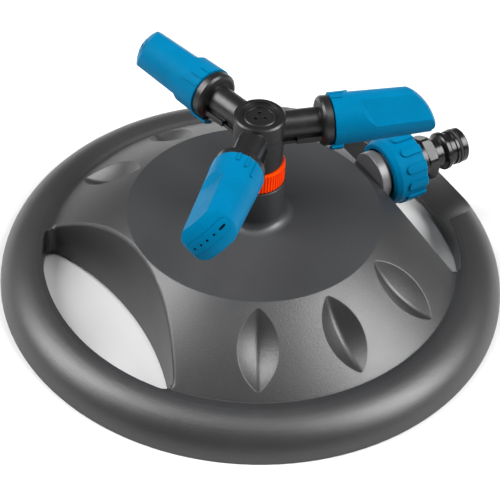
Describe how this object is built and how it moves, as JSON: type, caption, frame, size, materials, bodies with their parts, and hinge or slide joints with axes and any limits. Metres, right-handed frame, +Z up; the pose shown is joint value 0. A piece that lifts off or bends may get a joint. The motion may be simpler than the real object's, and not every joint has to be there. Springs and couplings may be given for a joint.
{
  "type": "rotary lawn sprinkler",
  "caption": "Rotary lawn sprinkler: round hollow base with hand openings, centre post, spinning three-arm rotor with turnable nozzle heads, and a side hose inlet with swivel nut.",
  "frame": {"origin": "on the rotor's axis at ground level, the centre of the base's bottom rim", "axes": "+Z up along the rotor's axis, +X outwards along the hose inlet, +Y to the left of the inlet"},
  "size_m": [0.25, 0.25, 0.1096],
  "materials": {
    "base_plastic": "fine satin, graphite grey",
    "black_plastic": "satin black",
    "blue_plastic": "satin bright blue",
    "orange_plastic": "satin orange",
    "acetal": "natural white bearing plastic",
    "seal_rubber": "smooth black rubber",
    "screw_steel": "zinc plated"
  },
  "bodies": {
    "base": {"base_shell": "base_plastic", "feed_pipe": "base_plastic", "pipe_clamp": "black_plastic", "clamp_screws": "screw_steel", "nut_clip_ring": "acetal", "inlet_washer": "seal_rubber", "ring_nut": "orange_plastic", "shaft_seal": "seal_rubber", "thrust_washer_lower": "acetal", "thrust_washer_upper": "acetal"},
    "rotor": {"rotor_hub": "black_plastic", "spindle": "acetal", "spindle_o_ring": "seal_rubber", "hub_plug": "black_plastic", "arm_o_ring_right": "seal_rubber", "arm_o_ring_rear": "seal_rubber", "arm_o_ring_front": "seal_rubber"},
    "nozzle_right": {"nozzle_head_right": "blue_plastic", "jet_strip_right": "blue_plastic"},
    "nozzle_rear": {"nozzle_head_rear": "blue_plastic", "jet_strip_rear": "blue_plastic"},
    "nozzle_front": {"nozzle_head_front": "blue_plastic", "jet_strip_front": "blue_plastic"},
    "nut": {"coupling_nut": "blue_plastic"},
    "nipple": {"hose_nipple": "black_plastic", "nipple_o_ring": "seal_rubber", "filter_screen": "acetal"}
  },
  "joints": [
    {"name": "rotor_spin", "type": "hinge", "parent": "base", "child": "rotor", "pos_m": [0, 0, 0.0685], "axis": [0, 0, 1], "continuous": true},
    {"name": "nozzle_right_turn", "type": "hinge", "parent": "rotor", "child": "nozzle_right", "pos_m": [0.04008, -0.01256, 0.0965], "axis": [0.9542, -0.299, 0], "range_deg": [-45, 45]},
    {"name": "nozzle_rear_turn", "type": "hinge", "parent": "rotor", "child": "nozzle_rear", "pos_m": [-0.00916, 0.04099, 0.0965], "axis": [-0.2181, 0.9759, 0], "range_deg": [-45, 45]},
    {"name": "nozzle_front_turn", "type": "hinge", "parent": "rotor", "child": "nozzle_front", "pos_m": [-0.03092, -0.02843, 0.0965], "axis": [-0.7361, -0.6769, 0], "range_deg": [-45, 45]},
    {"name": "nut_turn", "type": "hinge", "parent": "base", "child": "nut", "pos_m": [0.082, 0, 0.0378], "axis": [-1, 0, 0], "range_deg": [0, 1620]},
    {"name": "nipple_release", "type": "slide", "parent": "base", "child": "nipple", "axis": [1, 0, 0], "range_m": [0, 0.0082]}
  ],
  "couplings": [
    {"joint": "nipple_release", "follows": "nut_turn", "m_per_rad": 0.00028875}
  ]
}
